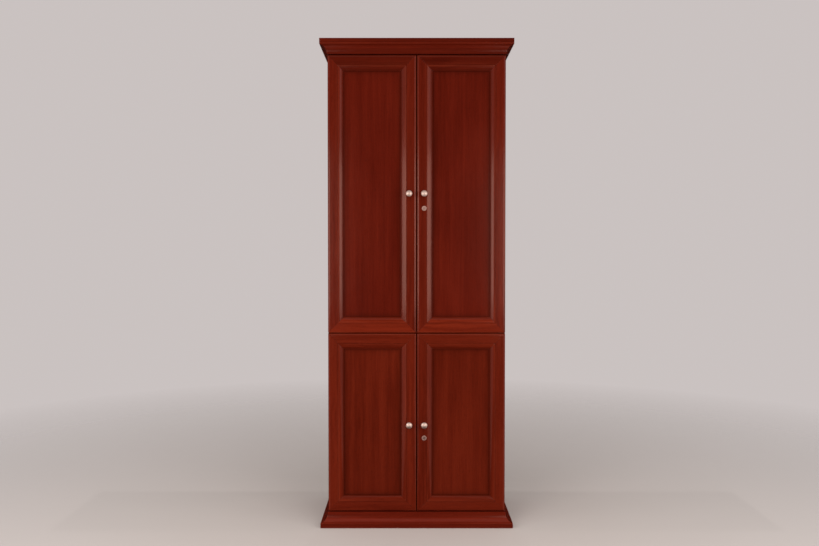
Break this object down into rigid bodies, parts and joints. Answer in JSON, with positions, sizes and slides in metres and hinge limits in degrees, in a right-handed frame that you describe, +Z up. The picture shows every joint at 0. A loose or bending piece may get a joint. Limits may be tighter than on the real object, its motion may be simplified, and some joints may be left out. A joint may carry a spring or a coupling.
{
  "type": "office cabinet",
  "caption": "Tall two-tier office cabinet with framed panel double doors above and below, cove cornice and plinth, round knobs, cam locks and shelves inside.",
  "frame": {"origin": "middle of the underside, on the floor", "axes": "+X across to the right as seen from the front, +Y from the doors to the back, +Z up"},
  "size_m": [0.79, 0.43, 2],
  "materials": {
    "carcass_lacquer": "satin red mahogany lacquer",
    "door_lacquer": "satin red mahogany lacquer",
    "shelf_laminate": "matt mahogany laminate",
    "back_hardboard": "thin faced hardboard",
    "knob_metal": "satin plated",
    "lock_metal": "nickel plated",
    "fitting_steel": "zinc or nickel plated"
  },
  "bodies": {
    "carcass": {"base_board": "carcass_lacquer", "base_moulding_front": "carcass_lacquer", "base_moulding_left": "carcass_lacquer", "base_moulding_right": "carcass_lacquer", "side_panel_left": "carcass_lacquer", "side_panel_right": "carcass_lacquer", "bottom_board": "carcass_lacquer", "divider_board": "carcass_lacquer", "top_board": "carcass_lacquer", "back_panel": "back_hardboard", "lower_shelf_1": "shelf_laminate", "upper_shelf_1": "shelf_laminate", "upper_shelf_2": "shelf_laminate", "cornice_front": "carcass_lacquer", "cornice_left": "carcass_lacquer", "cornice_right": "carcass_lacquer", "cap_board": "carcass_lacquer", "upper_left_hinge_arm_bottom": "fitting_steel", "upper_left_hinge_arm_middle": "fitting_steel", "upper_left_hinge_arm_top": "fitting_steel", "upper_right_hinge_arm_bottom": "fitting_steel", "upper_right_hinge_arm_middle": "fitting_steel", "upper_right_hinge_arm_top": "fitting_steel", "lower_left_hinge_arm_bottom": "fitting_steel", "lower_left_hinge_arm_top": "fitting_steel", "lower_right_hinge_arm_bottom": "fitting_steel", "lower_right_hinge_arm_top": "fitting_steel"},
    "upper_left_door": {"upper_left_door_hinge_stile": "door_lacquer", "upper_left_door_meeting_stile": "door_lacquer", "upper_left_door_top_rail": "door_lacquer", "upper_left_door_bottom_rail": "door_lacquer", "upper_left_door_panel": "door_lacquer", "upper_left_knob": "knob_metal", "upper_bolt_guide": "fitting_steel"},
    "upper_right_door": {"upper_right_door_hinge_stile": "door_lacquer", "upper_right_door_meeting_stile": "door_lacquer", "upper_right_door_top_rail": "door_lacquer", "upper_right_door_bottom_rail": "door_lacquer", "upper_right_door_panel": "door_lacquer", "upper_right_knob": "knob_metal", "upper_lock_housing": "lock_metal"},
    "lower_left_door": {"lower_left_door_hinge_stile": "door_lacquer", "lower_left_door_meeting_stile": "door_lacquer", "lower_left_door_top_rail": "door_lacquer", "lower_left_door_bottom_rail": "door_lacquer", "lower_left_door_panel": "door_lacquer", "lower_left_knob": "knob_metal", "lower_bolt_guide": "fitting_steel"},
    "lower_right_door": {"lower_right_door_hinge_stile": "door_lacquer", "lower_right_door_meeting_stile": "door_lacquer", "lower_right_door_top_rail": "door_lacquer", "lower_right_door_bottom_rail": "door_lacquer", "lower_right_door_panel": "door_lacquer", "lower_right_knob": "knob_metal", "lower_lock_housing": "lock_metal"},
    "upper_cam": {"upper_lock_cam": "lock_metal"},
    "lower_cam": {"lower_lock_cam": "lock_metal"},
    "upper_bolt": {"upper_bolt_rod": "fitting_steel"},
    "lower_bolt": {"lower_bolt_rod": "fitting_steel"}
  },
  "joints": [
    {"name": "upper_left_door_swing", "type": "hinge", "parent": "carcass", "child": "upper_left_door", "pos_m": [-0.3575, -0.172, 1.37], "axis": [0, 0, -1], "range_deg": [0, 95]},
    {"name": "upper_right_door_swing", "type": "hinge", "parent": "carcass", "child": "upper_right_door", "pos_m": [0.3575, -0.172, 1.37], "axis": [0, 0, 1], "range_deg": [0, 95]},
    {"name": "lower_left_door_swing", "type": "hinge", "parent": "carcass", "child": "lower_left_door", "pos_m": [-0.3575, -0.172, 0.43], "axis": [0, 0, -1], "range_deg": [0, 95]},
    {"name": "lower_right_door_swing", "type": "hinge", "parent": "carcass", "child": "lower_right_door", "pos_m": [0.3575, -0.172, 0.43], "axis": [0, 0, 1], "range_deg": [0, 95]},
    {"name": "upper_lock_turn", "type": "hinge", "parent": "upper_right_door", "child": "upper_cam", "pos_m": [0.031, -0.175, 1.313], "axis": [0, 1, 0], "range_deg": [0, 90]},
    {"name": "lower_lock_turn", "type": "hinge", "parent": "lower_right_door", "child": "lower_cam", "pos_m": [0.031, -0.175, 0.366], "axis": [0, 1, 0], "range_deg": [0, 90]},
    {"name": "upper_bolt_slide", "type": "slide", "parent": "upper_left_door", "child": "upper_bolt", "axis": [0, 0, 1], "range_m": [0, 0.012]},
    {"name": "lower_bolt_slide", "type": "slide", "parent": "lower_left_door", "child": "lower_bolt", "axis": [0, 0, 1], "range_m": [0, 0.012]}
  ]
}
